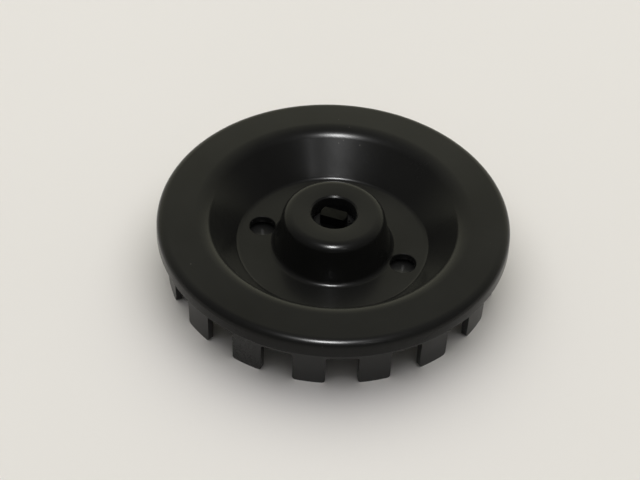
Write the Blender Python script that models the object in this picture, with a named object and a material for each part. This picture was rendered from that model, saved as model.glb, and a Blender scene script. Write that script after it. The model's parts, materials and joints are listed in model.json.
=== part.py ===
"""A low banding wheel: a dished wheel head that spins on two ball bearings over a castellated base.

The wheel stands on z = 0 with its axis on +Z. The head's two pin holes lie on the X axis, and the gaps
between the base's lugs are centred on the X and Y axes. Driving dimensions are in millimetres.
"""

import math

import bmesh
import bpy
from mathutils import Matrix, Vector

MM = 0.001
FACE_GAP = 0.3  # between faces that touch
FIT_GAP = 0.15  # between round surfaces that fit one in the other
WALL = 3.0

# Wheel head
HEAD_SEGMENTS = 48
RIM_R = 75.0
CROWN_Z = 29.45
CROWN_SLOPE_DEG = 5.0  # the crown falls towards the rim
RIM_ROUND_R = 4.0
RIM_EDGE_Z = 20.2
MOUTH_ROUND_R = 8.0
MOUTH_ROUND_AT_R = 58.45  # centre of the rounding from the crown into the dish
DISH_WALL_DEG = 50.0
FLOOR_Z = 12.6
FILLET_R = 2.6
HUB_TOP_R = 22.05
HUB_TOP_Z = 31.45
HUB_EDGE_R = 4.5
HUB_DRAFT_DEG = 13.0
BORE_R = 9.65
BORE_CHAMFER = 0.7
PIN_HOLE_R = 5.6
PIN_HOLE_AT_R = 31.7

# Bearings, 12 x 24 x 6
BEARING_SEGMENTS = 32
FITTING_SEGMENTS = 24
BEARING_BORE_R = 6.0
BEARING_R = 12.0
BEARING_WIDTH = 6.0
BALL_COUNT = 8
BALL_R = 1.75
BALL_PITCH_R = 9.0
RACE_GAP = 0.12
INNER_SHOULDER_R = 7.9
OUTER_SHOULDER_R = 10.1
CAGE_INNER_R = 8.15
CAGE_OUTER_R = 9.85
CAGE_HALF_HEIGHT = 2.2
POCKET_R = 1.9
SHIELD_THICKNESS = 0.3
SHIELD_INSET = 0.15

# Hub bearing seat, from its lip down
LIP_Z = 23.4
CORE_TOP_Z = HUB_TOP_Z - WALL
SEAT_R = BEARING_R + FIT_GAP
BARREL_R = SEAT_R + WALL
BARREL_Z = 8.4
UPPER_BEARING_Z = LIP_Z - FACE_GAP - BEARING_WIDTH
LOWER_BEARING_Z = UPPER_BEARING_Z - FACE_GAP - BEARING_WIDTH
HUB_CIRCLIP_THICKNESS = 1.1
HUB_CIRCLIP_Z = LOWER_BEARING_Z - FACE_GAP - HUB_CIRCLIP_THICKNESS
HUB_GROOVE_DEPTH = 0.9
HUB_GROOVE_R = SEAT_R + HUB_GROOVE_DEPTH

# Castellated base
BASE_SEGMENTS = 48
LUG_COUNT = 16
RING_R = 70.0  # at the foot; the draft widens the ring towards the top
RING_WALL = 2.4
RING_DRAFT_DEG = 3.0
RING_TOP_Z = 23.6
SLOT_TOP_Z = 15.0
SLOT_TOP_CHAMFER = 1.0
RING_FOOT_CHAMFER = 0.4
RING_TOP_CHAMFER = 0.6
LUG_CORNER_R = 1.5
WEB_Z = 16.0
WEB_INNER_R = 51.0
PLATE_Z = 4.5
PLATE_R = 43.0
PAD_TOP_Z = 8.0
PAD_R = 26.0
SPIGOT_HOLE_R = 10.0
RIB_THICKNESS = 1.6
RIB_Z = 1.8
RIB_START_R = 25.5
RIB_END_Z = 12.0
RIB_SINK = 1.0  # how far a rib runs into the plate, the web and the ring
RIB_END_R = RING_R - RING_WALL + RIB_SINK

# Spindle
SPINDLE_SEGMENTS = 32
JOURNAL_R = BEARING_BORE_R - FIT_GAP
SPINDLE_TOP_Z = 30.7
SPINDLE_CHAMFER = 0.4
TONGUE_FOOT_Z = 26.0
TONGUE_HALF_THICKNESS = 2.75  # the two flats on the spindle's end face front and back
SHOULDER_R = 7.2
FLANGE_R = 24.0
FLANGE_Z = 1.7
SCREW_AT_R = 18.0
SCREW_COUNT = 4
SCREW_SHANK_R = 1.5
SCREW_HEAD_R = 3.0
SCREW_HEAD_HEIGHT = 1.5
SCREW_TIP_Z = 7.2
SCREW_TIP_CHAMFER = 0.7
DRIVE_DEPTH = 0.7
DRIVE_WIDTH = 0.8
SPINDLE_CIRCLIP_THICKNESS = 1.0
CIRCLIP_BITE = 0.3
CIRCLIP_WIDTH = 2.2
CIRCLIP_OPENING_DEG = 40.0
DUST_WASHER_R = 9.2
DUST_WASHER_THICKNESS = 0.8
DUST_WASHER_LAND = 0.3
DUST_WASHER_Z = UPPER_BEARING_Z + BEARING_WIDTH + FACE_GAP
SPINDLE_CIRCLIP_Z = DUST_WASHER_Z + DUST_WASHER_THICKNESS + FACE_GAP


def clear_scene():
    for old in list(bpy.data.objects):
        bpy.data.objects.remove(old)


def make_material(name, colour, roughness, metallic):
    made = bpy.data.materials.new(name)
    made.use_nodes = True
    shader = made.node_tree.nodes["Principled BSDF"]
    shader.inputs["Base Color"].default_value = (*colour, 1.0)
    shader.inputs["Roughness"].default_value = roughness
    shader.inputs["Metallic"].default_value = metallic
    return made


def make_axis(name):
    """An empty on the wheel's axis, which carries the pieces of one body."""
    axis = bpy.data.objects.new(name, None)
    axis.empty_display_size = 20 * MM
    bpy.context.scene.collection.objects.link(axis)
    return axis


def make_object(name, bm, finish=None, parent=None, at=(0.0, 0.0, 0.0)):
    """An object from a bmesh in millimetres, with its origin at the given point."""
    bmesh.ops.recalc_face_normals(bm, faces=bm.faces)
    bmesh.ops.scale(bm, vec=(MM, MM, MM), verts=bm.verts)
    mesh = bpy.data.meshes.new(name)
    bm.to_mesh(mesh)
    bm.free()
    mesh.shade_smooth()
    mesh.set_sharp_from_angle(angle=math.radians(30))
    made = bpy.data.objects.new(name, mesh)
    bpy.context.scene.collection.objects.link(made)
    made.location = Vector(at) * MM
    if finish:
        made.data.materials.append(finish)
    if parent:
        made.parent = parent
    return made


def arc(centre, radius, start_deg, end_deg, steps):
    """Points (r, z) along an arc, from start to end."""
    turns = [start_deg + (end_deg - start_deg) * i / steps for i in range(steps + 1)]
    return [
        (centre[0] + radius * math.cos(math.radians(t)), centre[1] + radius * math.sin(math.radians(t)))
        for t in turns
    ]


def turned(outline, segments, turn_deg=0.0):
    """A bmesh turned about Z from an outline of (r, z). The outline closes itself, or ends on the axis."""
    bm = bmesh.new()
    start = Matrix.Rotation(math.radians(turn_deg), 3, "Z")
    points = [bm.verts.new(start @ Vector((r, 0.0, z))) for r, z in outline]
    edges = [bm.edges.new(pair) for pair in zip(points, points[1:])]
    if outline[0][0] > 0.0:
        edges.append(bm.edges.new((points[-1], points[0])))
    bmesh.ops.spin(
        bm, geom=points + edges, cent=(0, 0, 0), axis=(0, 0, 1), angle=math.tau, steps=segments
    )
    bmesh.ops.remove_doubles(bm, verts=bm.verts, dist=0.0005)
    return bm


def ring_outline(inner_r, outer_r, low_z, high_z):
    return [(inner_r, low_z), (outer_r, low_z), (outer_r, high_z), (inner_r, high_z)]


def add_prism(bm, outline, half_thickness, turn_deg):
    """Adds a flat plate: an outline of (x, z), extruded to both sides of its plane and turned about Z."""
    turn = Matrix.Rotation(math.radians(turn_deg), 3, "Z")
    near = [bm.verts.new(turn @ Vector((x, -half_thickness, z))) for x, z in outline]
    face = bm.faces.new(near)
    pulled = bmesh.ops.extrude_face_region(bm, geom=[face])["geom"]
    moved = [part for part in pulled if isinstance(part, bmesh.types.BMVert)]
    bmesh.ops.translate(bm, verts=moved, vec=turn @ Vector((0.0, 2 * half_thickness, 0.0)))


def add_slot_cutter(bm, near_r, far_r, outline, turn_deg):
    """Adds a cutter: an outline of (y, z), extruded outwards along X and turned about Z."""
    turn = Matrix.Rotation(math.radians(turn_deg), 3, "Z")
    near = [bm.verts.new(turn @ Vector((near_r, y, z))) for y, z in outline]
    face = bm.faces.new(near)
    pulled = bmesh.ops.extrude_face_region(bm, geom=[face])["geom"]
    moved = [part for part in pulled if isinstance(part, bmesh.types.BMVert)]
    bmesh.ops.translate(bm, verts=moved, vec=turn @ Vector((far_r - near_r, 0.0, 0.0)))


def add_round(bm, low_r, high_r, low_z, high_z, at_r, turn_deg, segments):
    """Adds a cylinder or a cone that stands parallel to Z."""
    place = Matrix.Rotation(math.radians(turn_deg), 4, "Z") @ Matrix.Translation(
        (at_r, 0.0, (low_z + high_z) / 2)
    )
    bmesh.ops.create_cone(
        bm,
        cap_ends=True,
        segments=segments,
        radius1=low_r,
        radius2=high_r,
        depth=high_z - low_z,
        matrix=place,
    )


def combine(target, bm, operation, label, at=(0.0, 0.0, 0.0)):
    """Cuts or joins a helper shape, and keeps it as a hidden wire object."""
    helper = make_object(f"{target.name}_{label}", bm, at=at)
    helper.hide_render = True
    helper.display_type = "WIRE"
    change = target.modifiers.new(label, "BOOLEAN")
    change.operation = operation
    change.solver = "EXACT"
    change.object = helper


def hub_side_r(z):
    """The hub's outer radius at a height on its drafted side."""
    return HUB_TOP_R + (HUB_TOP_Z - HUB_EDGE_R - z) * math.tan(math.radians(HUB_DRAFT_DEG))


def dish_corner_r():
    """Where the straight dish wall would meet the floor."""
    slope = math.radians(DISH_WALL_DEG)
    wall_r = MOUTH_ROUND_AT_R - MOUTH_ROUND_R * math.sin(slope)
    wall_z = CROWN_Z - MOUTH_ROUND_R * (1 - math.cos(slope))
    return wall_r - (wall_z - FLOOR_Z) / math.tan(slope)


def mouth_centre():
    return (MOUTH_ROUND_AT_R, CROWN_Z - MOUTH_ROUND_R)


def rim_centre():
    """Centre of the rim's rounding, which the straight crown meets without a kink at both ends."""
    slope = math.radians(CROWN_SLOPE_DEG)
    low_r, low_z = mouth_centre()
    across = RIM_R - RIM_ROUND_R - low_r
    rise = (MOUTH_ROUND_R - RIM_ROUND_R - across * math.sin(slope)) / math.cos(slope)
    return (RIM_R - RIM_ROUND_R, low_z + rise)


def head_top_outline():
    """From the bore up over the hub, across the dish and over the crown to the rim's edge."""
    crown_normal = 90 - CROWN_SLOPE_DEG
    hub_tilt = 90 - HUB_DRAFT_DEG
    hub_fillet_r = hub_side_r(FLOOR_Z) + FILLET_R * math.tan(math.radians(hub_tilt / 2))
    floor_end_r = dish_corner_r() - FILLET_R * math.tan(math.radians(DISH_WALL_DEG / 2))
    return [
        (BORE_R, HUB_TOP_Z - BORE_CHAMFER),
        (BORE_R + BORE_CHAMFER, HUB_TOP_Z),
        *arc((HUB_TOP_R - HUB_EDGE_R, HUB_TOP_Z - HUB_EDGE_R), HUB_EDGE_R, 90, HUB_DRAFT_DEG, 5),
        *arc((hub_fillet_r, FLOOR_Z + FILLET_R), FILLET_R, 180 + HUB_DRAFT_DEG, 270, 3),
        *arc((floor_end_r, FLOOR_Z + FILLET_R), FILLET_R, 270, 270 + DISH_WALL_DEG, 3),
        *arc(mouth_centre(), MOUTH_ROUND_R, 90 + DISH_WALL_DEG, crown_normal, 5),
        *arc(rim_centre(), RIM_ROUND_R, crown_normal, 0, 5),
        (RIM_R, RIM_EDGE_Z),
    ]


def head_underside_outline():
    """From the rim's edge back under the dish to the hub's core, and down and up the bearing barrel."""
    inner_corner_r = dish_corner_r() + WALL * math.tan(math.radians(DISH_WALL_DEG / 2))
    groove_low_z = HUB_CIRCLIP_Z - FIT_GAP
    groove_high_z = HUB_CIRCLIP_Z + HUB_CIRCLIP_THICKNESS + FIT_GAP
    crown_normal = 90 - CROWN_SLOPE_DEG
    rim_under = arc(rim_centre(), RIM_ROUND_R - WALL, 0, crown_normal, 2)
    mouth_under = arc(mouth_centre(), MOUTH_ROUND_R - WALL, crown_normal, 90 + DISH_WALL_DEG, 4)
    return [
        (RIM_R - WALL, RIM_EDGE_Z),
        *rim_under,
        *mouth_under,
        (inner_corner_r, FLOOR_Z - WALL),
        (hub_side_r(FLOOR_Z) - WALL, FLOOR_Z - WALL),
        (hub_side_r(CORE_TOP_Z) - WALL, CORE_TOP_Z),
        (BARREL_R, CORE_TOP_Z),
        (BARREL_R, BARREL_Z),
        (SEAT_R, BARREL_Z),
        (SEAT_R, groove_low_z),
        (HUB_GROOVE_R, groove_low_z),
        (HUB_GROOVE_R, groove_high_z),
        (SEAT_R, groove_high_z),
        (SEAT_R, LIP_Z),
        (BORE_R, LIP_Z),
    ]


def make_wheel_head(finish, parent):
    outline = head_top_outline() + head_underside_outline()
    head = make_object("wheel_head", turned(outline, HEAD_SEGMENTS), finish, parent)
    holes = bmesh.new()
    for turn in (0, 180):
        add_round(holes, PIN_HOLE_R, PIN_HOLE_R, BARREL_Z, FLOOR_Z + WALL, PIN_HOLE_AT_R, turn, 24)
    combine(head, holes, "DIFFERENCE", "pin_holes")


def ring_side_r(z):
    """The castellated ring's outer radius at a height on its drafted side."""
    return RING_R + z * math.tan(math.radians(RING_DRAFT_DEG))


def base_outline():
    """The plate under the dish, the cone up to the web, and the ring that the slots are cut from."""
    top_r = ring_side_r(RING_TOP_Z)
    skin_shift = WALL * math.tan(math.radians(DISH_WALL_DEG / 2))
    web_top_z = WEB_Z + WALL
    plate_top_z = PLATE_Z + WALL
    return [
        (SPIGOT_HOLE_R, PLATE_Z),
        (PLATE_R + skin_shift, PLATE_Z),
        (WEB_INNER_R + skin_shift, WEB_Z),
        (RING_R - RING_WALL, WEB_Z),
        (RING_R - RING_WALL, 0.0),
        (RING_R - RING_FOOT_CHAMFER, 0.0),
        (ring_side_r(RING_FOOT_CHAMFER), RING_FOOT_CHAMFER),
        (ring_side_r(RING_TOP_Z - RING_TOP_CHAMFER), RING_TOP_Z - RING_TOP_CHAMFER),
        (top_r - RING_TOP_CHAMFER, RING_TOP_Z),
        (top_r - RING_WALL, RING_TOP_Z),
        (top_r - RING_WALL, web_top_z),
        (WEB_INNER_R, web_top_z),
        (PLATE_R, plate_top_z),
        (PAD_R, plate_top_z),
        (PAD_R, PAD_TOP_Z),
        (SPIGOT_HOLE_R, PAD_TOP_Z),
    ]


def slot_outline():
    """Half a gap's width to each side, flaring at the foot where the lugs' corners are rounded."""
    half = RING_R * math.sin(math.pi / LUG_COUNT / 2)
    foot = arc((half + LUG_CORNER_R, LUG_CORNER_R), LUG_CORNER_R, 270, 180, 3)
    top = [(half, SLOT_TOP_Z - SLOT_TOP_CHAMFER), (half - SLOT_TOP_CHAMFER, SLOT_TOP_Z)]
    right = [(half + LUG_CORNER_R, -2.0), *foot, *top]
    return right + [(-y, z) for y, z in reversed(right)]


def rib_outline():
    """A rib below the plate, the cone and the web, from just outside the spindle's flange to a lug."""
    return [
        (RIB_START_R, RIB_Z),
        (WEB_INNER_R, RIB_Z),
        (RIB_END_R, RIB_END_Z),
        (RIB_END_R, WEB_Z + RIB_SINK),
        (WEB_INNER_R + RIB_SINK, WEB_Z + RIB_SINK),
        (PLATE_R + RIB_SINK, PLATE_Z + RIB_SINK),
        (RIB_START_R, PLATE_Z + RIB_SINK),
    ]


def screw_turns():
    return [(i + 0.5) * 360 / SCREW_COUNT for i in range(SCREW_COUNT)]


def make_castellated_base(finish, parent):
    pitch_deg = 360 / LUG_COUNT
    base = make_object(
        "castellated_base", turned(base_outline(), BASE_SEGMENTS, 180 / BASE_SEGMENTS), finish, parent
    )
    slots = bmesh.new()
    ribs = bmesh.new()
    for i in range(LUG_COUNT):
        add_slot_cutter(slots, RING_R - RING_WALL - 1.0, RING_R + 2.0, slot_outline(), i * pitch_deg)
        add_prism(ribs, rib_outline(), RIB_THICKNESS / 2, (i + 0.5) * pitch_deg)
    combine(base, slots, "DIFFERENCE", "slots")
    combine(base, ribs, "UNION", "ribs")
    screw_holes = bmesh.new()
    hole_r = SCREW_SHANK_R + FACE_GAP
    for turn in screw_turns():
        add_round(screw_holes, hole_r, hole_r, PLATE_Z - 1.0, SCREW_TIP_Z + FACE_GAP, SCREW_AT_R, turn, 12)
    combine(base, screw_holes, "DIFFERENCE", "screw_holes")


def spindle_outline():
    """A flange under the base, a spigot up through it, a shoulder, and the bearings' journal."""
    flange_top_z = PLATE_Z - FACE_GAP
    spigot_r = SPIGOT_HOLE_R - FACE_GAP
    spigot_top_z = PAD_TOP_Z + FACE_GAP
    shoulder_z = LOWER_BEARING_Z - FACE_GAP
    groove_r = JOURNAL_R - CIRCLIP_BITE - FIT_GAP
    groove_low_z = SPINDLE_CIRCLIP_Z - FIT_GAP
    groove_high_z = SPINDLE_CIRCLIP_Z + SPINDLE_CIRCLIP_THICKNESS + FIT_GAP
    return [
        (0.0, FLANGE_Z),
        (FLANGE_R - SPINDLE_CHAMFER, FLANGE_Z),
        (FLANGE_R, FLANGE_Z + SPINDLE_CHAMFER),
        (FLANGE_R, flange_top_z),
        (spigot_r, flange_top_z),
        (spigot_r, spigot_top_z),
        (SHOULDER_R, spigot_top_z),
        (SHOULDER_R, shoulder_z),
        (JOURNAL_R, shoulder_z),
        (JOURNAL_R, groove_low_z),
        (groove_r, groove_low_z),
        (groove_r, groove_high_z),
        (JOURNAL_R, groove_high_z),
        (JOURNAL_R, SPINDLE_TOP_Z - SPINDLE_CHAMFER),
        (JOURNAL_R - SPINDLE_CHAMFER, SPINDLE_TOP_Z),
        (0.0, SPINDLE_TOP_Z),
    ]


def make_spindle(finish, parent):
    spindle = make_object("spindle", turned(spindle_outline(), SPINDLE_SEGMENTS), finish, parent)
    beyond = JOURNAL_R + 1.0
    above_z = SPINDLE_TOP_Z + 1.0
    flats = bmesh.new()
    across = [(-beyond, TONGUE_FOOT_Z), (beyond, TONGUE_FOOT_Z), (beyond, above_z), (-beyond, above_z)]
    for turn in (90, -90):
        add_slot_cutter(flats, TONGUE_HALF_THICKNESS, beyond, across, turn)
    combine(spindle, flats, "DIFFERENCE", "flats")
    screw_holes = bmesh.new()
    countersinks = bmesh.new()
    hole_r = SCREW_SHANK_R + FACE_GAP
    head_r = SCREW_HEAD_R + FACE_GAP
    neck_z = FLANGE_Z + SCREW_HEAD_HEIGHT
    for turn in screw_turns():
        add_round(screw_holes, hole_r, hole_r, FLANGE_Z - 1.0, PLATE_Z + 1.0, SCREW_AT_R, turn, 12)
        add_round(countersinks, head_r, hole_r, FLANGE_Z, neck_z, SCREW_AT_R, turn, 12)
    combine(spindle, screw_holes, "DIFFERENCE", "screw_holes")
    combine(spindle, countersinks, "DIFFERENCE", "countersinks")


def make_flange_screws(finish, parent):
    """Countersunk screws with a slotted drive, up through the flange into the base."""
    length = SCREW_TIP_Z - FLANGE_Z
    outline = [
        (0.0, 0.0),
        (SCREW_HEAD_R, 0.0),
        (SCREW_SHANK_R, SCREW_HEAD_HEIGHT),
        (SCREW_SHANK_R, length - SCREW_TIP_CHAMFER),
        (SCREW_SHANK_R - SCREW_TIP_CHAMFER, length),
        (0.0, length),
    ]
    reach = SCREW_HEAD_R + 1.0
    across = [(-reach, -1.0), (reach, -1.0), (reach, DRIVE_DEPTH), (-reach, DRIVE_DEPTH)]
    for i, turn_deg in enumerate(screw_turns()):
        turn = math.radians(turn_deg)
        at = (SCREW_AT_R * math.cos(turn), SCREW_AT_R * math.sin(turn), FLANGE_Z)
        screw = make_object(f"flange_screw_{i + 1}", turned(outline, 16), finish, parent, at)
        drive = bmesh.new()
        add_prism(drive, across, DRIVE_WIDTH / 2, 30 * i)
        combine(screw, drive, "DIFFERENCE", "drive", at)


def make_bearing(name, low_z, shield_side, inner_parent, outer_parent, cage_parent, finishes):
    """One bearing: both rings, a cage with its balls, and the shield on its outer side."""
    steel, ball_steel, cage_finish = finishes
    centre = (0.0, 0.0, low_z + BEARING_WIDTH / 2)
    half = BEARING_WIDTH / 2
    race_r = BALL_R + RACE_GAP
    inner_reach = INNER_SHOULDER_R - BALL_PITCH_R
    groove_deg = math.degrees(math.acos(-inner_reach / race_r))
    inner = [
        (BEARING_BORE_R, -half),
        (INNER_SHOULDER_R, -half),
        *arc((BALL_PITCH_R, 0.0), race_r, 180 + groove_deg, 180 - groove_deg, 4),
        (INNER_SHOULDER_R, half),
        (BEARING_BORE_R, half),
    ]
    outer_reach = OUTER_SHOULDER_R - BALL_PITCH_R
    groove_deg = math.degrees(math.acos(outer_reach / race_r))
    outer = [
        (BEARING_R, half),
        (OUTER_SHOULDER_R, half),
        *arc((BALL_PITCH_R, 0.0), race_r, groove_deg, -groove_deg, 4),
        (OUTER_SHOULDER_R, -half),
        (BEARING_R, -half),
    ]
    make_object(f"{name}_inner_ring", turned(inner, BEARING_SEGMENTS), steel, inner_parent, centre)
    make_object(f"{name}_outer_ring", turned(outer, BEARING_SEGMENTS), steel, outer_parent, centre)

    cage_outline = ring_outline(CAGE_INNER_R, CAGE_OUTER_R, -CAGE_HALF_HEIGHT, CAGE_HALF_HEIGHT)
    cage = make_object(
        f"{name}_cage",
        turned(cage_outline, BEARING_SEGMENTS, 180 / BEARING_SEGMENTS),
        cage_finish,
        cage_parent,
        centre,
    )
    pockets = bmesh.new()
    lie_down = Matrix.Rotation(math.pi / 2, 4, "Y")
    for i in range(BALL_COUNT):
        turn = math.tau * i / BALL_COUNT
        place = Matrix.Rotation(turn, 4, "Z") @ Matrix.Translation((BALL_PITCH_R, 0, 0)) @ lie_down
        bmesh.ops.create_cone(
            pockets, cap_ends=True, segments=8, radius1=POCKET_R, radius2=POCKET_R, depth=3.5, matrix=place
        )
        ball = bmesh.new()
        bmesh.ops.create_icosphere(ball, subdivisions=2, radius=BALL_R)
        at = (BALL_PITCH_R * math.cos(turn), BALL_PITCH_R * math.sin(turn), centre[2])
        make_object(f"{name}_ball_{i + 1}", ball, ball_steel, cage_parent, at)
    combine(cage, pockets, "DIFFERENCE", "pockets", centre)

    shield_z = half - SHIELD_INSET - SHIELD_THICKNESS / 2
    shield = ring_outline(
        INNER_SHOULDER_R + FIT_GAP,
        OUTER_SHOULDER_R - FIT_GAP,
        -SHIELD_THICKNESS / 2,
        SHIELD_THICKNESS / 2,
    )
    at = (0.0, 0.0, centre[2] + shield_side * shield_z)
    make_object(f"{name}_shield", turned(shield, FITTING_SEGMENTS), steel, outer_parent, at)


def make_circlip(name, section, finish, parent):
    """A flat spring ring: a section of (r, z) swept round most of a turn, open towards +X."""
    half_gap = math.radians(CIRCLIP_OPENING_DEG / 2)
    start = Matrix.Rotation(half_gap, 3, "Z")
    bm = bmesh.new()
    near = bm.faces.new([bm.verts.new(start @ Vector((r, 0.0, z))) for r, z in section])
    bmesh.ops.spin(
        bm,
        geom=[near, *near.verts, *near.edges],
        cent=(0, 0, 0),
        axis=(0, 0, 1),
        angle=math.tau - 2 * half_gap,
        steps=FITTING_SEGMENTS,
        use_duplicate=False,
    )
    make_object(name, bm, finish, parent)


def make_retainers(base, head, finish):
    """What keeps the bearings on the spindle and in the hub."""
    land_z = DUST_WASHER_Z + DUST_WASHER_LAND
    land_r = INNER_SHOULDER_R - DUST_WASHER_LAND
    washer_top_z = DUST_WASHER_Z + DUST_WASHER_THICKNESS
    washer = [
        (BEARING_BORE_R, DUST_WASHER_Z),
        (land_r, DUST_WASHER_Z),
        (land_r, land_z),
        (DUST_WASHER_R, land_z),
        (DUST_WASHER_R, washer_top_z),
        (BEARING_BORE_R, washer_top_z),
    ]
    make_object("dust_washer", turned(washer, FITTING_SEGMENTS), finish, base)
    spindle_ring = ring_outline(
        JOURNAL_R - CIRCLIP_BITE,
        JOURNAL_R - CIRCLIP_BITE + CIRCLIP_WIDTH,
        SPINDLE_CIRCLIP_Z,
        SPINDLE_CIRCLIP_Z + SPINDLE_CIRCLIP_THICKNESS,
    )
    hub_ring = ring_outline(
        HUB_GROOVE_R - FIT_GAP - CIRCLIP_WIDTH,
        HUB_GROOVE_R - FIT_GAP,
        HUB_CIRCLIP_Z,
        HUB_CIRCLIP_Z + HUB_CIRCLIP_THICKNESS,
    )
    make_circlip("spindle_circlip", spindle_ring, finish, base)
    make_circlip("hub_circlip", hub_ring, finish, head)


def main():
    clear_scene()
    black_plastic = make_material("black_plastic", (0.012, 0.012, 0.010), 0.25, 0.0)
    base_plastic = make_material("base_plastic", (0.013, 0.013, 0.012), 0.35, 0.0)
    dark_steel = make_material("dark_steel", (0.10, 0.10, 0.11), 0.35, 1.0)
    bearing_steel = make_material("bearing_steel", (0.60, 0.60, 0.62), 0.20, 1.0)
    ball_steel = make_material("ball_steel", (0.75, 0.75, 0.77), 0.08, 1.0)
    cage_plastic = make_material("cage_plastic", (0.35, 0.24, 0.12), 0.45, 0.0)
    black_steel = make_material("black_steel", (0.03, 0.03, 0.03), 0.50, 1.0)
    screw_steel = make_material("screw_steel", (0.45, 0.44, 0.42), 0.30, 1.0)

    base = make_axis("base_stands")
    head = make_axis("head_turns")
    upper_cage = make_axis("upper_cage_turns")
    lower_cage = make_axis("lower_cage_turns")

    make_castellated_base(base_plastic, base)
    make_spindle(dark_steel, base)
    make_flange_screws(screw_steel, base)
    make_wheel_head(black_plastic, head)
    finishes = (bearing_steel, ball_steel, cage_plastic)
    make_bearing("upper_bearing", UPPER_BEARING_Z, 1, base, head, upper_cage, finishes)
    make_bearing("lower_bearing", LOWER_BEARING_Z, -1, base, head, lower_cage, finishes)
    make_retainers(base, head, black_steel)


main()
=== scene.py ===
"""The banding wheel's visual model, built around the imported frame, in a plain studio.

Lengths are in millimetres until make_piece scales them to metres. The wheel stands on z = 0 with its
axis on +Z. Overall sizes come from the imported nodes' boxes; the rest repeat the CAD model's own.
"""

import json
import math

import bmesh
import bpy
from mathutils import Matrix, Vector


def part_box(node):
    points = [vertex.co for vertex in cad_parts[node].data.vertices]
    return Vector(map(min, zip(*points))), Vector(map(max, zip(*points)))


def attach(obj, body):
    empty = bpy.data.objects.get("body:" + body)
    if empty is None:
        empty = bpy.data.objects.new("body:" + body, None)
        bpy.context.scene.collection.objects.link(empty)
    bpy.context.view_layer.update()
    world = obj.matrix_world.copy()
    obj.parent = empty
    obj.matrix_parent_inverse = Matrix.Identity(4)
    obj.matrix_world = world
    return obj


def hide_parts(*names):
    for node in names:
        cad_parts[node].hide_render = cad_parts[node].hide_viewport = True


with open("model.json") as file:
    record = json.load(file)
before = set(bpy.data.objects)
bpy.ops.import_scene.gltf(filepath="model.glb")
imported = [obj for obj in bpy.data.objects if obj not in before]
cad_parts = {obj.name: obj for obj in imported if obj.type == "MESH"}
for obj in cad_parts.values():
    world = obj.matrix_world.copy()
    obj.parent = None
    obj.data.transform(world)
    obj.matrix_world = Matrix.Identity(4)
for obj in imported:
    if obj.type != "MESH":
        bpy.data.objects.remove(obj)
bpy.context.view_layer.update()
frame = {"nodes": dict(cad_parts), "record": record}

MM = 0.001


def corner(node, which):
    """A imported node's lowest (0) or highest (1) corner, in millimetres."""
    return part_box(node)[which] / MM


HEAD_LOW = corner("wheel_head", 0)
HEAD_HIGH = corner("wheel_head", 1)
BASE_HIGH = corner("castellated_base", 1)
SPINDLE_LOW = corner("spindle", 0)
SPINDLE_HIGH = corner("spindle", 1)
WASHER_LOW = corner("dust_washer", 0)
WASHER_HIGH = corner("dust_washer", 1)
CLIP_LOW = corner("spindle_circlip", 0)
CLIP_HIGH = corner("spindle_circlip", 1)

WALL = 3.0
FACE_GAP = 0.3  # between faces that touch
FIT_GAP = 0.15  # between round surfaces that fit one in the other

# Wheel head
HEAD_SEGMENTS = 240
PIN_HOLE_SEGMENTS = 72
RIM_R = HEAD_HIGH.x
HUB_TOP_Z = HEAD_HIGH.z
CROWN_Z = 29.45
CROWN_SLOPE_DEG = 5.0  # the crown falls towards the rim
BARREL_Z = HEAD_LOW.z
RIM_ROUND_R = 4.0
RIM_EDGE_Z = 20.2
RIM_LIP_R = 0.45
MOUTH_ROUND_R = 8.0
MOUTH_ROUND_AT_R = 58.45  # centre of the rounding from the crown into the dish
DISH_WALL_DEG = 50.0
FLOOR_Z = 12.6
FILLET_R = 2.6
HUB_TOP_R = 22.05
HUB_EDGE_R = 4.5
HUB_DRAFT_DEG = 13.0
BORE_R = 9.65
BORE_CHAMFER = 0.7
PIN_HOLE_R = 5.6
PIN_HOLE_AT_R = 31.7
PIN_HOLE_LEAD = 0.35  # rounded edge of each pin hole
LIP_Z = 23.4
HUB_GROOVE_DEPTH = 0.9
SEAT_R = 12.15
BARREL_R = SEAT_R + WALL
CORE_TOP_Z = HUB_TOP_Z - WALL

# Castellated base
PLATE_SEGMENTS = 192
SCREW_HOLE_SEGMENTS = 32
LUG_COUNT = 16
RING_R = 70.0  # at the foot; the draft widens the ring towards the top
RING_WALL = 2.4
RING_DRAFT_DEG = 3.0
RING_TOP_Z = BASE_HIGH.z
SLOT_TOP_Z = 15.0
SLOT_CORNER_R = 1.0
LUG_CORNER_R = 1.5
EDGE_SOFT = 0.3
PLATE_EDGE_SOFT = 0.9
WEB_Z = 16.0
WEB_INNER_R = 51.0
PLATE_Z = 4.5
PLATE_R = 43.0
PAD_TOP_Z = 8.0
PAD_R = 26.0
SPIGOT_HOLE_R = 10.0
RIB_THICKNESS = 1.6
RIB_Z = 1.8
RIB_START_R = 25.5
RIB_END_Z = 12.0
RIB_SINK = 1.0  # how far a rib runs into the plate, the web and the ring
RIB_CORNER = 0.8
RIB_END_R = RING_R - RING_WALL + RIB_SINK

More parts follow.
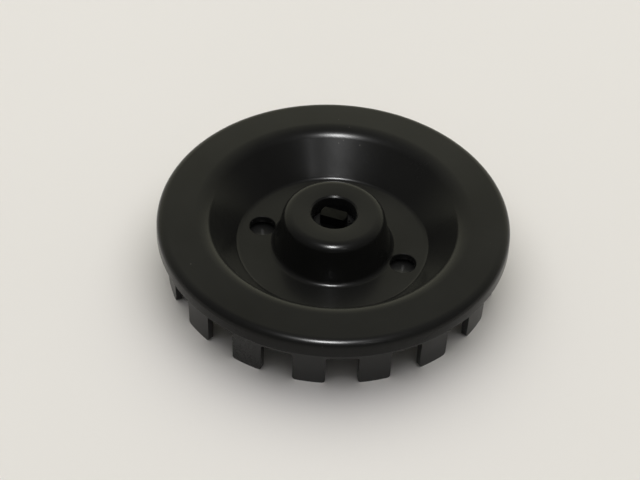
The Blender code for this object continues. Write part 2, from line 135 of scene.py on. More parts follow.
# Spindle and its screws
SPINDLE_SEGMENTS = 128
SPINDLE_EDGE_SOFT = 0.25
SPINDLE_CHAMFER = 0.4
JOURNAL_R = 5.85
CLIP_GROOVE_DEPTH = 0.45
SHOULDER_R = 7.2
SHOULDER_Z = 10.5
FLANGE_R = SPINDLE_HIGH.x
FLANGE_Z = SPINDLE_LOW.z
TONGUE_FOOT_Z = 26.0
TONGUE_HALF_THICKNESS = 2.75
SCREW_SEGMENTS = 48
SCREW_EDGE_SOFT = 0.12
SCREW_AT_R = 18.0
SCREW_COUNT = 4
SCREW_SHANK_R = 1.5
SCREW_HEAD_R = 3.0
SCREW_HEAD_HEIGHT = 1.5
SCREW_HEAD_LAND = 0.12
SCREW_TIP_Z = 7.2
SCREW_TIP_CHAMFER = 0.7
DRIVE_DEPTH = 0.7
DRIVE_WIDTH = 0.8
DRIVE_STEP_DEG = 30  # each screw was tightened to its own angle

# Dust washer and spindle circlip
WASHER_SEGMENTS = 96
WASHER_BORE_R = 6.0
WASHER_LAND_R = 7.6
WASHER_LAND = 0.3
WASHER_EDGE_SOFT = 0.15
CLIP_BITE = 0.3
CLIP_WIDTH = 2.2
CLIP_HALF_GAP_DEG = 20
CLIP_EYE_R = 0.55
CLIP_EYE_AT_DEG = 28


# ---------------------------------------------------------------- mesh helpers


def arc(centre, radius, start_deg, end_deg, steps):
    turns = [math.radians(start_deg + (end_deg - start_deg) * i / steps) for i in range(steps + 1)]
    return [(centre[0] + radius * math.cos(t), centre[1] + radius * math.sin(t)) for t in turns]


def softened(outline, radius, steps=2):
    """Rounds every sharp corner of a closed outline of (r, z). Corners on the axis stay."""
    count = len(outline)
    result = []
    for i in range(count):
        before, here, after = (Vector(outline[(i + k) % count]) for k in (-1, 0, 1))
        back = before - here
        ahead = after - here
        reach = min(radius, 0.4 * back.length, 0.4 * ahead.length)
        turn = math.pi - back.angle(ahead)
        if here.x < 1e-6 or turn < math.radians(25) or reach < 1e-3:
            result.append(tuple(here))
            continue
        start = here + back.normalized() * reach
        end = here + ahead.normalized() * reach
        for k in range(steps + 1):
            t = k / steps
            result.append(tuple(start * (1 - t) ** 2 + here * (2 * t * (1 - t)) + end * t**2))
    return result


def turned(outline, segments):
    """A bmesh turned about Z. The outline closes itself, or has its two ends on the axis."""
    bm = bmesh.new()
    closed = outline[0][0] > 1e-6
    rings = []
    for r, z in outline:
        if r < 1e-6:
            rings.append([bm.verts.new((0.0, 0.0, z))] * segments)
            continue
        turns = [math.tau * k / segments for k in range(segments)]
        rings.append([bm.verts.new((r * math.cos(t), r * math.sin(t), z)) for t in turns])
    pairs = list(zip(rings, rings[1:]))
    if closed:
        pairs.append((rings[-1], rings[0]))
    for low, high in pairs:
        for k in range(segments):
            n = (k + 1) % segments
            around = [low[k], low[n], high[n], high[k]]
            face = [v for i, v in enumerate(around) if v not in around[:i]]
            bm.faces.new(face)
    bmesh.ops.recalc_face_normals(bm, faces=bm.faces)
    return bm


def extruded(points, along):
    """A bmesh pulled from a flat loop of 3-D points by a vector."""
    bm = bmesh.new()
    face = bm.faces.new([bm.verts.new(p) for p in points])
    pulled = bmesh.ops.extrude_face_region(bm, geom=[face])["geom"]
    moved = [part for part in pulled if isinstance(part, bmesh.types.BMVert)]
    bmesh.ops.translate(bm, verts=moved, vec=along)
    bmesh.ops.recalc_face_normals(bm, faces=bm.faces)
    return bm


def placed(bm, at=(0.0, 0.0, 0.0), turn_deg=0.0):
    move = Matrix.Translation(at) @ Matrix.Rotation(math.radians(turn_deg), 4, "Z")
    bmesh.ops.transform(bm, matrix=move, verts=bm.verts)
    return bm


def join(parts):
    """One bmesh from several that don't touch."""
    whole = bmesh.new()
    for part in parts:
        mesh = bpy.data.meshes.new("part")
        part.to_mesh(mesh)
        part.free()
        whole.from_mesh(mesh)
        bpy.data.meshes.remove(mesh)
    return whole


def make_object(name, bm):
    mesh = bpy.data.meshes.new(name)
    bm.to_mesh(mesh)
    bm.free()
    made = bpy.data.objects.new(name, mesh)
    bpy.context.scene.collection.objects.link(made)
    return made


def combine(bm, other, operation):
    """The boolean of two bmeshes."""
    target = make_object("combine_target", bm)
    helper = make_object("combine_helper", other)
    change = target.modifiers.new("change", "BOOLEAN")
    change.operation = operation
    change.solver = "EXACT"
    change.object = helper
    bpy.context.view_layer.update()
    graph = bpy.context.evaluated_depsgraph_get()
    mesh = bpy.data.meshes.new_from_object(target.evaluated_get(graph))
    result = bmesh.new()
    result.from_mesh(mesh)
    bpy.data.meshes.remove(mesh)
    for used in (target, helper):
        data = used.data
        bpy.data.objects.remove(used)
        bpy.data.meshes.remove(data)
    bmesh.ops.remove_doubles(result, verts=result.verts, dist=0.002)
    bmesh.ops.dissolve_degenerate(result, edges=result.edges, dist=0.002)
    return result


def make_piece(name, bm, material, body, node, sharp_deg=28):
    """A finished piece: scaled to metres, shaded, riding on its body in place of its CAD node."""
    bmesh.ops.scale(bm, vec=(MM, MM, MM), verts=bm.verts)
    piece = make_object(name, bm)
    piece.data.shade_smooth()
    piece.data.set_sharp_from_angle(angle=math.radians(sharp_deg))
    piece.data.materials.append(material)
    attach(piece, body)
    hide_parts(node)


# ---------------------------------------------------------------- wheel head


def hub_side_r(z):
    return HUB_TOP_R + (HUB_TOP_Z - HUB_EDGE_R - z) * math.tan(math.radians(HUB_DRAFT_DEG))


def dish_corner_r():
    slope = math.radians(DISH_WALL_DEG)
    wall_r = MOUTH_ROUND_AT_R - MOUTH_ROUND_R * math.sin(slope)
    wall_z = CROWN_Z - MOUTH_ROUND_R * (1 - math.cos(slope))
    return wall_r - (wall_z - FLOOR_Z) / math.tan(slope)


def head_outline():
    """The whole section, from the bore over the top to the rim's edge and back underneath."""
    hub_fillet_r = hub_side_r(FLOOR_Z) + FILLET_R * math.tan(math.radians((90 - HUB_DRAFT_DEG) / 2))
    floor_end_r = dish_corner_r() - FILLET_R * math.tan(math.radians(DISH_WALL_DEG / 2))
    mouth_centre = (MOUTH_ROUND_AT_R, CROWN_Z - MOUTH_ROUND_R)
    crown_slope = math.radians(CROWN_SLOPE_DEG)
    across = RIM_R - RIM_ROUND_R - MOUTH_ROUND_AT_R
    rise = (MOUTH_ROUND_R - RIM_ROUND_R - across * math.sin(crown_slope)) / math.cos(crown_slope)
    rim_centre = (RIM_R - RIM_ROUND_R, CROWN_Z - MOUTH_ROUND_R + rise)
    crown_normal = 90 - CROWN_SLOPE_DEG
    top = [
        (BORE_R, LIP_Z + 1.0),
        (BORE_R, HUB_TOP_Z - BORE_CHAMFER - 0.2),
        (BORE_R + 0.06, HUB_TOP_Z - BORE_CHAMFER + 0.05),
        (BORE_R + BORE_CHAMFER - 0.05, HUB_TOP_Z - 0.06),
        (BORE_R + BORE_CHAMFER + 0.2, HUB_TOP_Z),
        *arc((HUB_TOP_R - HUB_EDGE_R, HUB_TOP_Z - HUB_EDGE_R), HUB_EDGE_R, 90, HUB_DRAFT_DEG, 24),
        *arc((hub_fillet_r, FLOOR_Z + FILLET_R), FILLET_R, 180 + HUB_DRAFT_DEG, 270, 18),
        *arc((floor_end_r, FLOOR_Z + FILLET_R), FILLET_R, 270, 270 + DISH_WALL_DEG, 14),
        *arc(mouth_centre, MOUTH_ROUND_R, 90 + DISH_WALL_DEG, crown_normal, 28),
        *arc(rim_centre, RIM_ROUND_R, crown_normal, 0, 28),
        *arc((RIM_R - RIM_LIP_R, RIM_EDGE_Z + RIM_LIP_R), RIM_LIP_R, 0, -90, 5),
    ]
    inner_corner_r = dish_corner_r() + WALL * math.tan(math.radians(DISH_WALL_DEG / 2))
    groove_low_z = corner("hub_circlip", 0).z - FIT_GAP
    groove_high_z = corner("hub_circlip", 1).z + FIT_GAP
    groove_r = SEAT_R + HUB_GROOVE_DEPTH
    under = [
        *arc((RIM_R - WALL + RIM_LIP_R, RIM_EDGE_Z + RIM_LIP_R), RIM_LIP_R, 270, 180, 4),
        *arc(rim_centre, RIM_ROUND_R - WALL, 0, crown_normal, 8),
        *arc(mouth_centre, MOUTH_ROUND_R - WALL, crown_normal, 90 + DISH_WALL_DEG, 16),
        (inner_corner_r, FLOOR_Z - WALL),
        (hub_side_r(FLOOR_Z) - WALL, FLOOR_Z - WALL),
        (hub_side_r(CORE_TOP_Z) - WALL, CORE_TOP_Z),
        (BARREL_R, CORE_TOP_Z),
        (BARREL_R, BARREL_Z),
        (SEAT_R, BARREL_Z),
        (SEAT_R, groove_low_z),
        (groove_r, groove_low_z),
        (groove_r, groove_high_z),
        (SEAT_R, groove_high_z),
        (SEAT_R, LIP_Z),
        (BORE_R, LIP_Z),
    ]
    return top + under


def make_wheel_head(material):
    head = turned(head_outline(), HEAD_SEGMENTS)
    low_z = FLOOR_Z - WALL
    below_z = low_z - 2.0
    above_z = FLOOR_Z + 2.2
    hole = [
        (0.0, below_z),
        (PIN_HOLE_R + low_z - below_z, below_z),
        (PIN_HOLE_R, low_z),
        (PIN_HOLE_R, FLOOR_Z - PIN_HOLE_LEAD),
        (PIN_HOLE_R + 0.1, FLOOR_Z - 0.4 * PIN_HOLE_LEAD),
        (PIN_HOLE_R + PIN_HOLE_LEAD, FLOOR_Z),
        (PIN_HOLE_R + PIN_HOLE_LEAD, above_z),
        (0.0, above_z),
    ]
    holes = [placed(turned(hole, PIN_HOLE_SEGMENTS), (side * PIN_HOLE_AT_R, 0.0, 0.0)) for side in (1, -1)]
    head = combine(head, join(holes), "DIFFERENCE")
    make_piece("wheel_head_finish", head, material, "head", "wheel_head")


# ---------------------------------------------------------------- castellated base


def lug_ring():
    """The ring wall with its lugs and gaps, as one closed mesh with softened edges."""
    pitch = math.tau * RING_R / LUG_COUNT
    half = RING_R * math.radians(90 / LUG_COUNT)
    mid_z = SLOT_TOP_Z + 1.0
    slot_side_z = SLOT_TOP_Z - SLOT_CORNER_R
    turn_steps = 5

    def slot_z(s):
        inset = max(0.0, abs(s) - (half - SLOT_CORNER_R))
        return slot_side_z + math.sqrt(max(0.0, SLOT_CORNER_R**2 - inset**2))

    def lug_z(s):
        inset = max(0.0, half + LUG_CORNER_R - s, s - (pitch - half - LUG_CORNER_R))
        return LUG_CORNER_R - math.sqrt(max(0.0, LUG_CORNER_R**2 - inset**2))

    def eased(start, end, flat_end):
        """Columns across a rounded corner, closest together where it is steepest."""
        turns = [math.pi / 2 * k / turn_steps for k in range(turn_steps + 1)]
        if flat_end:
            return [start + (end - start) * (1 - math.cos(t)) for t in turns]
        return [start + (end - start) * math.sin(t) for t in turns]

    gap_columns = eased(-half, -half + SLOT_CORNER_R, True)
    gap_columns += [-half + SLOT_CORNER_R + (2 * half - 2 * SLOT_CORNER_R) * k / 7 for k in range(1, 7)]
    gap_columns += eased(half - SLOT_CORNER_R, half, False)
    lug_end = pitch - half
    lug_columns = eased(half, half + LUG_CORNER_R, True)
    lug_span = lug_end - half - 2 * LUG_CORNER_R
    lug_columns += [half + LUG_CORNER_R + lug_span * k / 7 for k in range(1, 7)]
    lug_columns += eased(lug_end - LUG_CORNER_R, lug_end, False)

    bm = bmesh.new()

    def point(radius, s, z):
        turn = s / RING_R
        return (radius * math.cos(turn), radius * math.sin(turn), z)

    for radius in (RING_R, RING_R - RING_WALL):
        for i in range(LUG_COUNT):
            shift = i * pitch
            for a, b in zip(gap_columns, gap_columns[1:]):
                low = [(a, slot_z(a)), (b, slot_z(b)), (b, mid_z), (a, mid_z)]
                bm.faces.new([bm.verts.new(point(radius, s + shift, z)) for s, z in low])
                high = [(a, mid_z), (b, mid_z), (b, RING_TOP_Z), (a, RING_TOP_Z)]
                bm.faces.new([bm.verts.new(point(radius, s + shift, z)) for s, z in high])
            for k, (a, b) in enumerate(zip(lug_columns, lug_columns[1:])):
                low = [(a, lug_z(a)), (b, lug_z(b)), (b, mid_z), (a, mid_z)]
                if k == 0:
                    low.append((a, slot_side_z))
                if k == len(lug_columns) - 2:
                    low.insert(2, (b, slot_side_z))
                bm.faces.new([bm.verts.new(point(radius, s + shift, z)) for s, z in low])
                high = [(a, mid_z), (b, mid_z), (b, RING_TOP_Z), (a, RING_TOP_Z)]
                bm.faces.new([bm.verts.new(point(radius, s + shift, z)) for s, z in high])
    bmesh.ops.remove_doubles(bm, verts=bm.verts, dist=0.01)
    rims = [edge for edge in bm.edges if edge.is_boundary]

    def key(v, radius):
        turn = math.atan2(v.co.y, v.co.x) % math.tau
        return (round(turn * radius, 2) % round(math.tau * radius, 2), round(v.co.z, 2))

    inner = {}
    for v in bm.verts:
        if v.co.xy.length < RING_R - RING_WALL / 2:
            inner[key(v, RING_R)] = v
    for edge in rims:
        a, b = edge.verts
        if a.co.xy.length > RING_R - RING_WALL / 2:
            bm.faces.new((a, b, inner[key(b, RING_R)], inner[key(a, RING_R)]))
    bmesh.ops.recalc_face_normals(bm, faces=bm.faces)
    sharp = [e for e in bm.edges if len(e.link_faces) == 2 and e.calc_face_angle() > math.radians(50)]
    bmesh.ops.bevel(
        bm, geom=sharp, offset=EDGE_SOFT, segments=3, profile=0.5, affect="EDGES", clamp_overlap=True
    )
    bmesh.ops.remove_doubles(bm, verts=bm.verts, dist=0.002)
    lean_out(bm)
    return bm


def lean_out(bm):
    """Leans the ring's outer side by its draft. The inner side stays upright below the web."""
    slope = math.tan(math.radians(RING_DRAFT_DEG))
    for v in bm.verts:
        radius = v.co.xy.length
        outer_share = min(1.0, max(0.0, (radius - RING_R + RING_WALL) / RING_WALL))
        above_web = max(0.0, v.co.z - WEB_Z) / (RING_TOP_Z - WEB_Z)
        outer_shift = v.co.z * slope
        inner_shift = above_web * RING_TOP_Z * slope
        wider = radius + outer_share * outer_shift + (1 - outer_share) * inner_shift
        v.co.x *= wider / radius
        v.co.y *= wider / radius


def plate_outline():
    cone_shift = WALL * math.tan(math.radians(DISH_WALL_DEG / 2))
    return [
        (SPIGOT_HOLE_R, PLATE_Z),
        (PLATE_R + cone_shift, PLATE_Z),
        (WEB_INNER_R + cone_shift, WEB_Z),
        (RING_R - RING_WALL / 2, WEB_Z),
        (RING_R - RING_WALL / 2, WEB_Z + WALL),
        (WEB_INNER_R, WEB_Z + WALL),
        (PLATE_R, PLATE_Z + WALL),
        (PAD_R, PLATE_Z + WALL),
        (PAD_R, PAD_TOP_Z),
        (SPIGOT_HOLE_R, PAD_TOP_Z),
    ]


def rib(turn_deg):
    side = [
        (RIB_START_R, RIB_Z + RIB_CORNER),
        (RIB_START_R + RIB_CORNER, RIB_Z),
        (WEB_INNER_R, RIB_Z),
        (RIB_END_R, RIB_END_Z),
        (RIB_END_R, WEB_Z + RIB_SINK),
        (WEB_INNER_R + RIB_SINK, WEB_Z + RIB_SINK),
        (PLATE_R + RIB_SINK, PLATE_Z + RIB_SINK),
        (RIB_START_R, PLATE_Z + RIB_SINK),
    ]
    flat = extruded([(r, -RIB_THICKNESS / 2, z) for r, z in side], (0.0, RIB_THICKNESS, 0.0))
    return placed(flat, turn_deg=turn_deg)


def screw_turns():
    return [(i + 0.5) * 360 / SCREW_COUNT for i in range(SCREW_COUNT)]


def around_axis(at_r, turn_deg, z=0.0):
    turn = math.radians(turn_deg)
    return (at_r * math.cos(turn), at_r * math.sin(turn), z)


def make_castellated_base(material):
    plate = turned(softened(plate_outline(), PLATE_EDGE_SOFT), PLATE_SEGMENTS)
    base = combine(lug_ring(), plate, "UNION")
    pitch_deg = 360 / LUG_COUNT
    base = combine(base, join([rib((i + 0.5) * pitch_deg) for i in range(LUG_COUNT)]), "UNION")
    hole_r = SCREW_SHANK_R + FACE_GAP
    low_z = PLATE_Z - 1
    end_z = SCREW_TIP_Z + FACE_GAP
    hole = [(0.0, low_z), (hole_r, low_z), (hole_r, end_z), (0.0, end_z)]
    places = [around_axis(SCREW_AT_R, turn) for turn in screw_turns()]
    holes = [placed(turned(hole, SCREW_HOLE_SEGMENTS), place) for place in places]
    base = combine(base, join(holes), "DIFFERENCE")
    make_piece("castellated_base_finish", base, material, "base", "castellated_base", 32)


# ---------------------------------------------------------------- spindle and small steel pieces


def spindle_outline():
    groove_low_z = CLIP_LOW.z - FIT_GAP
    groove_high_z = CLIP_HIGH.z + FIT_GAP
    groove_r = JOURNAL_R - CLIP_GROOVE_DEPTH
    spigot_r = SPIGOT_HOLE_R - FACE_GAP
    spigot_top_z = PAD_TOP_Z + FACE_GAP
    body = [
        (FLANGE_R, FLANGE_Z),
        (FLANGE_R, PLATE_Z - FACE_GAP),
        (spigot_r, PLATE_Z - FACE_GAP),
        (spigot_r, spigot_top_z),
        (SHOULDER_R, spigot_top_z),
        (SHOULDER_R, SHOULDER_Z),
        (JOURNAL_R, SHOULDER_Z),
        (JOURNAL_R, groove_low_z),
        (groove_r, groove_low_z),
        (groove_r, groove_high_z),
        (JOURNAL_R, groove_high_z),
        (JOURNAL_R, SPINDLE_HIGH.z - SPINDLE_CHAMFER),
        (JOURNAL_R - SPINDLE_CHAMFER, SPINDLE_HIGH.z),
    ]
    return [(0.0, FLANGE_Z), *body, (0.0, SPINDLE_HIGH.z)]


def make_spindle(material):
    spindle = turned(softened(spindle_outline(), SPINDLE_EDGE_SOFT), SPINDLE_SEGMENTS)
    above_z = SPINDLE_HIGH.z + 1.0
    beyond = JOURNAL_R + 1.0
    across = [(-beyond, TONGUE_FOOT_Z), (beyond, TONGUE_FOOT_Z), (beyond, above_z), (-beyond, above_z)]
    for side in (1, -1):
        near = side * TONGUE_HALF_THICKNESS
        flat = extruded([(x, near, z) for x, z in across], (0.0, side * beyond, 0.0))
        spindle = combine(spindle, flat, "DIFFERENCE")
    neck_z = FLANGE_Z + SCREW_HEAD_HEIGHT
    sunk = 0.5
    sink = [
        (0.0, FLANGE_Z - sunk),
        (SCREW_HEAD_R + FACE_GAP + sunk, FLANGE_Z - sunk),
        (SCREW_SHANK_R + FACE_GAP, neck_z),
        (SCREW_SHANK_R + FACE_GAP, PLATE_Z),
        (0.0, PLATE_Z),
    ]
    sinks = [placed(turned(sink, SCREW_SEGMENTS), around_axis(SCREW_AT_R, turn)) for turn in screw_turns()]
    spindle = combine(spindle, join(sinks), "DIFFERENCE")
    make_piece("spindle_finish", spindle, material, "base", "spindle", 24)


def make_screws(material):
    length = SCREW_TIP_Z - FLANGE_Z
    reach = SCREW_HEAD_R + 1.0
    for i, turn in enumerate(screw_turns()):
        outline = [
            (0.0, 0.0),
            (SCREW_HEAD_R, 0.0),
            (SCREW_HEAD_R, SCREW_HEAD_LAND),
            (SCREW_SHANK_R, SCREW_HEAD_HEIGHT),
            (SCREW_SHANK_R, length - SCREW_TIP_CHAMFER),
            (SCREW_SHANK_R - SCREW_TIP_CHAMFER, length),
            (0.0, length),
        ]
        screw = turned(softened(outline, SCREW_EDGE_SOFT), SCREW_SEGMENTS)
        side_y = -DRIVE_WIDTH / 2
        across = [(-reach, -1.0), (reach, -1.0), (reach, DRIVE_DEPTH), (-reach, DRIVE_DEPTH)]
        slot = extruded([(x, side_y, z) for x, z in across], (0.0, DRIVE_WIDTH, 0.0))
        cutter = placed(slot, turn_deg=DRIVE_STEP_DEG * i)
        screw = placed(combine(screw, cutter, "DIFFERENCE"), around_axis(SCREW_AT_R, turn, FLANGE_Z))
        node = f"flange_screw_{i + 1}"
        make_piece(f"{node}_finish", screw, material, "base", node, 24)


def make_dust_washer(material):
    land_z = WASHER_LOW.z + WASHER_LAND
    outline = [
        (WASHER_BORE_R, WASHER_LOW.z),
        (WASHER_LAND_R, WASHER_LOW.z),
        (WASHER_LAND_R, land_z),
        (WASHER_HIGH.x, land_z),
        (WASHER_HIGH.x, WASHER_HIGH.z),
        (WASHER_BORE_R, WASHER_HIGH.z),
    ]
    washer = turned(softened(outline, WASHER_EDGE_SOFT), WASHER_SEGMENTS)
    make_piece("dust_washer_finish", washer, material, "base", "dust_washer", 24)


def make_spindle_circlip(material):
    """An open spring ring of even width with a small eye cut through it near each end."""
    inner_r = JOURNAL_R - CLIP_BITE
    outer_r = inner_r + CLIP_WIDTH
    half_gap = math.radians(CLIP_HALF_GAP_DEG)
    steps = 64
    turns = [half_gap + (math.tau - 2 * half_gap) * k / steps for k in range(steps + 1)]
    loop = [(outer_r * math.cos(t), outer_r * math.sin(t), CLIP_LOW.z) for t in turns]
    loop += [(inner_r * math.cos(t), inner_r * math.sin(t), CLIP_LOW.z) for t in reversed(turns)]
    ring = extruded(loop, (0.0, 0.0, CLIP_HIGH.z - CLIP_LOW.z))
    low_z = CLIP_LOW.z - 1
    high_z = CLIP_HIGH.z + 1
    eye = [(0.0, low_z), (CLIP_EYE_R, low_z), (CLIP_EYE_R, high_z), (0.0, high_z)]
    eye_at_r = (inner_r + outer_r) / 2
    eyes = [placed(turned(eye, 20), around_axis(eye_at_r, side * CLIP_EYE_AT_DEG)) for side in (1, -1)]
    ring = combine(ring, join(eyes), "DIFFERENCE")
    make_piece("spindle_circlip_finish", ring, material, "base", "spindle_circlip", 30)


# ---------------------------------------------------------------- materials


class Nodes:
    """A material's node tree, with short calls for the nodes used here."""

    def __init__(self, name):
        self.material = bpy.data.materials.new(name)
        self.material.use_nodes = True
        self.tree = self.material.node_tree
        self.shader = self.tree.nodes["Principled BSDF"]
        self.where = self.add("ShaderNodeTexCoord").outputs["Object"]

    def add(self, kind, **settings):
        node = self.tree.nodes.new(kind)
        for key, value in settings.items():
            setattr(node, key, value)
        return node

    def link(self, source, target):
        self.tree.links.new(source, target)

    def noise(self, scale, detail=3.0, rough=0.5, where=None):
        node = self.add("ShaderNodeTexNoise")
        node.inputs["Scale"].default_value = scale
        node.inputs["Detail"].default_value = detail
        node.inputs["Roughness"].default_value = rough
        self.link(where or self.where, node.inputs["Vector"])
        return node.outputs["Fac"]

    def stretched(self, factors):
        node = self.add("ShaderNodeMapping")
        node.inputs["Scale"].default_value = factors
        self.link(self.where, node.inputs["Vector"])
        return node.outputs["Vector"]

    def span(self, value, low, high, to_low, to_high):
        node = self.add("ShaderNodeMapRange")
        for key, number in zip(("From Min", "From Max", "To Min", "To Max"), (low, high, to_low, to_high)):
            node.inputs[key].default_value = number
        self.link(value, node.inputs["Value"])
        return node.outputs["Result"]

    def maths(self, operation, a, b):
        node = self.add("ShaderNodeMath", operation=operation)
        for socket, value in zip(node.inputs, (a, b)):
            if isinstance(value, (int, float)):
                socket.default_value = value
            else:
                self.link(value, socket)
        return node.outputs["Value"]

    def mix(self, factor, a, b):
        node = self.add("ShaderNodeMix", data_type="RGBA")
        self.link(factor, node.inputs["Factor"])
        for key, value in (("A", a), ("B", b)):
            socket = next(s for s in node.inputs if s.name == key and s.type == "RGBA")
            if isinstance(value, tuple):
                socket.default_value = (*value, 1.0)
            else:
                self.link(value, socket)
        return next(s for s in node.outputs if s.type == "RGBA")

    def bump(self, height, strength, distance, before=None):
        node = self.add("ShaderNodeBump")
        node.inputs["Strength"].default_value = strength
        node.inputs["Distance"].default_value = distance
        self.link(height, node.inputs["Height"])
        if before:
            self.link(before, node.inputs["Normal"])
        return node.outputs["Normal"]

    def finish(self, colour=None, roughness=None, normal=None, **values):
        for key, value in (("Base Color", colour), ("Roughness", roughness), ("Normal", normal)):
            if value is not None:
                self.link(value, self.shader.inputs[key])
        for key, value in values.items():
            self.shader.inputs[key.replace("_", " ")].default_value = value
        return self.material


def moulded_plastic(name, tone, rough_low, rough_high, specular):
    """Moulded plastic: faint flow in its tone, wiped patches in its gloss, a fine skin and a little dust."""
    n = Nodes(name)
    flow = n.span(n.noise(26.0, 4.0, 0.55), 0.3, 0.7, 0.0, 1.0)
    deep = tuple(0.82 * c for c in tone)
    pale = tuple(1.22 * c for c in tone)
    colour = n.mix(flow, deep, pale)
    dust_spots = n.add("ShaderNodeTexVoronoi")
    dust_spots.inputs["Scale"].default_value = 210.0
    n.link(n.where, dust_spots.inputs["Vector"])
    speck = n.span(dust_spots.outputs["Distance"], 0.03, 0.075, 1.0, 0.0)
    chosen = n.span(n.noise(33.0, 1.0), 0.66, 0.70, 0.0, 1.0)
    dust = n.maths("MULTIPLY", speck, chosen)
    colour = n.mix(n.maths("MULTIPLY", dust, 0.5), colour, (0.16, 0.15, 0.13))
    wiped = n.noise(17.0, 5.0, 0.6)
    fine = n.noise(900.0, 2.0)
    gloss = n.maths("ADD", n.span(wiped, 0.3, 0.7, rough_low, rough_high), n.span(fine, 0, 1, -0.02, 0.02))
    gloss = n.maths("ADD", gloss, n.maths("MULTIPLY", dust, 0.3))
    skin = n.bump(n.noise(1500.0, 3.0), 0.05, 0.0001)
    skin = n.bump(n.noise(160.0, 2.0), 0.03, 0.0004, skin)
    return n.finish(colour, gloss, skin, Specular_IOR_Level=specular, IOR=1.5)


def turned_steel(name, tone, rough, grain_scale):
    """Steel with the fine rings that turning leaves, as bands along the axis and out from it."""
    n = Nodes(name)
    rings = n.noise(grain_scale, 3.0, 0.6, n.stretched((0.08, 0.08, 1.0)))
    stain = n.noise(120.0, 4.0, 0.6)
    dull = tuple(0.7 * c for c in tone)
    bright = tuple(1.25 * c for c in tone)
    colour = n.mix(n.span(stain, 0.3, 0.7, 0.0, 1.0), dull, bright)
    ring_gloss = n.span(rings, 0.2, 0.8, rough - 0.08, rough + 0.1)
    gloss = n.maths("ADD", ring_gloss, n.span(stain, 0, 1, -0.04, 0.06))
    normal = n.bump(rings, 0.12, 0.00006)
    return n.finish(colour, gloss, normal, Metallic=1.0)


def make_materials():
    return {
        "black_plastic": moulded_plastic("head_plastic", (0.0100, 0.0100, 0.0093), 0.20, 0.27, 0.13),
        "base_plastic": moulded_plastic("lug_plastic", (0.0165, 0.0165, 0.0155), 0.26, 0.34, 0.36),
        # The spindle's steel is near black: partly its dark oxide finish, partly painted shade for where it
        # stands down in the dark bore.
        "dark_steel": turned_steel("oxide_steel_and_painted_shade", (0.005, 0.005, 0.005), 0.42, 2600.0),
        "black_steel": turned_steel("phosphate_steel", (0.016, 0.016, 0.016), 0.55, 1800.0),
        "bearing_steel": turned_steel("ground_steel", (0.55, 0.55, 0.57), 0.20, 4200.0),
        "ball_steel": turned_steel("polished_steel", (0.74, 0.74, 0.76), 0.10, 600.0),
        "screw_steel": turned_steel("zinc_steel", (0.42, 0.42, 0.40), 0.30, 3000.0),
        "cage_plastic": moulded_plastic("cage_resin", (0.32, 0.21, 0.10), 0.42, 0.52, 0.5),
    }


def dress_cad_nodes(materials):
    """Gives the pieces that keep their CAD mesh the finish that their record names."""
    slots = {part["node"]: part["material_slot"] for part in frame["record"]["subparts"]}
    for name, node in frame["nodes"].items():
        if node.hide_render:
            continue
        node.data.materials.clear()
        node.data.materials.append(materials[slots[name]])


# ---------------------------------------------------------------- studio and camera


VIEW_AZIMUTH_DEG = 17.22
VIEW_ELEVATION_DEG = 43.56
VIEW_ROLL_DEG = 2.89
VIEW_DISTANCE = 1.3637
VIEW_LENS = 180.0
AIM = Vector((-0.00508, -0.0018, 0.015))
FRONT_DEG = 17  # azimuth of the viewer's side of the room
WINDOW_DEG = FRONT_DEG + 180
WINDOW_COLOUR = (1.06, 1.05, 0.80)
ROOM_COLOUR = (0.200, 0.198, 0.195)
OVERHEAD_COLOUR = (1.0, 0.99, 1.03)


def direction(azimuth_deg, elevation_deg):
    """From the object towards a light or a camera. Azimuth 0 is in front, on -Y, and grows towards +X."""
    azimuth = math.radians(azimuth_deg)
    elevation = math.radians(elevation_deg)
    level = math.cos(elevation)
    return Vector((level * math.sin(azimuth), -level * math.cos(azimuth), math.sin(elevation)))


def make_camera():
    away = direction(VIEW_AZIMUTH_DEG, VIEW_ELEVATION_DEG)
    # The camera is also turned about its own axis, by the roll.
    flat_right = Vector((0, 0, 1)).cross(away).normalized()
    flat_up = away.cross(flat_right)
    roll = math.radians(VIEW_ROLL_DEG)
    right = flat_right * math.cos(roll) + flat_up * math.sin(roll)
    up = away.cross(right)
    camera = bpy.data.objects.new("camera", bpy.data.cameras.new("camera"))
    camera.data.lens = VIEW_LENS
    camera.data.sensor_width = 36.0
    camera.data.clip_start = 0.01
    turn = Matrix((right, up, away)).transposed().to_4x4()
    camera.matrix_world = Matrix.Translation(AIM + away * VIEW_DISTANCE) @ turn
    bpy.context.scene.collection.objects.link(camera)
    bpy.context.scene.camera = camera


def make_light(name, azimuth_deg, elevation_deg, distance, width, height, power, tint=(1.0, 1.0, 1.0)):
    """A rectangular light that faces the wheel and that the camera can't see."""
    lamp = bpy.data.lights.new(name, "AREA")
    lamp.shape = "RECTANGLE"
    lamp.size = width
    lamp.size_y = height
    lamp.energy = power
    lamp.color = tint
    made = bpy.data.objects.new(name, lamp)
    away = direction(azimuth_deg, elevation_deg)
    made.location = AIM + away * distance
    made.rotation_euler = away.to_track_quat("Z", "Y").to_euler()
    made.visible_camera = False
    bpy.context.scene.collection.objects.link(made)
    return made


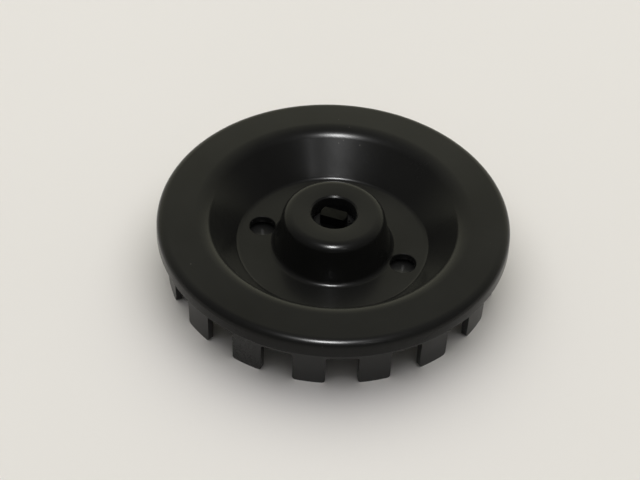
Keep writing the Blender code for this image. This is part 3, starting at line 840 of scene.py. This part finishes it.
def make_floor():
    n = Nodes("pale_table")
    mottle = n.noise(3.0, 3.0)
    colour = n.mix(n.span(mottle, 0.3, 0.7, 0.0, 1.0), (0.775, 0.755, 0.725), (0.795, 0.775, 0.745))
    material = n.finish(colour, n.span(n.noise(40.0), 0, 1, 0.55, 0.65), Specular_IOR_Level=0.2)
    bm = bmesh.new()
    bmesh.ops.create_grid(bm, x_segments=1, y_segments=1, size=6.0)
    floor = make_object("floor", bm)
    floor.data.materials.append(material)


def make_world():
    """A dim room that brightens evenly towards the window side, behind the wheel."""
    world = bpy.data.worlds.new("studio")
    bpy.context.scene.world = world
    world.use_nodes = True
    nodes = world.node_tree.nodes
    links = world.node_tree.links
    towards = nodes.new("ShaderNodeVectorMath")
    towards.operation = "DOT_PRODUCT"
    towards.inputs[1].default_value = direction(WINDOW_DEG, 0)
    links.new(nodes.new("ShaderNodeTexCoord").outputs["Generated"], towards.inputs[0])
    glow = nodes.new("ShaderNodeMix")
    glow.data_type = "RGBA"
    glow.inputs["A"].default_value = (*ROOM_COLOUR, 1.0)
    glow.inputs["B"].default_value = (*WINDOW_COLOUR, 1.0)
    links.new(towards.outputs["Value"], glow.inputs["Factor"])
    links.new(glow.outputs["Result"], nodes["Background"].inputs["Color"])


def make_studio():
    """One large light for the tones, which reflections leave out, and three that only reflections show."""
    make_world()
    make_floor()
    overhead = make_light("overhead", WINDOW_DEG, 74, 2.2, 4.0, 4.0, 62.0, OVERHEAD_COLOUR)
    overhead.visible_glossy = False
    highlights = [
        make_light("front_lamp", FRONT_DEG, 58, 1.7, 0.24, 0.40, 62.0),
        make_light("front_strip", FRONT_DEG, 36, 1.7, 0.08, 0.5, 0.10),
        make_light("side_strip", FRONT_DEG + 26, 36, 1.7, 0.10, 0.5, 1.2),
    ]
    for lamp in highlights:
        lamp.visible_diffuse = False
    bpy.context.scene.view_settings.view_transform = "Standard"
    bpy.context.scene.view_settings.look = "None"


# ---------------------------------------------------------------- the whole wheel

materials = make_materials()
make_wheel_head(materials["black_plastic"])
make_castellated_base(materials["base_plastic"])
make_spindle(materials["dark_steel"])
make_screws(materials["screw_steel"])
make_dust_washer(materials["black_steel"])
make_spindle_circlip(materials["black_steel"])
dress_cad_nodes(materials)
make_studio()
make_camera()
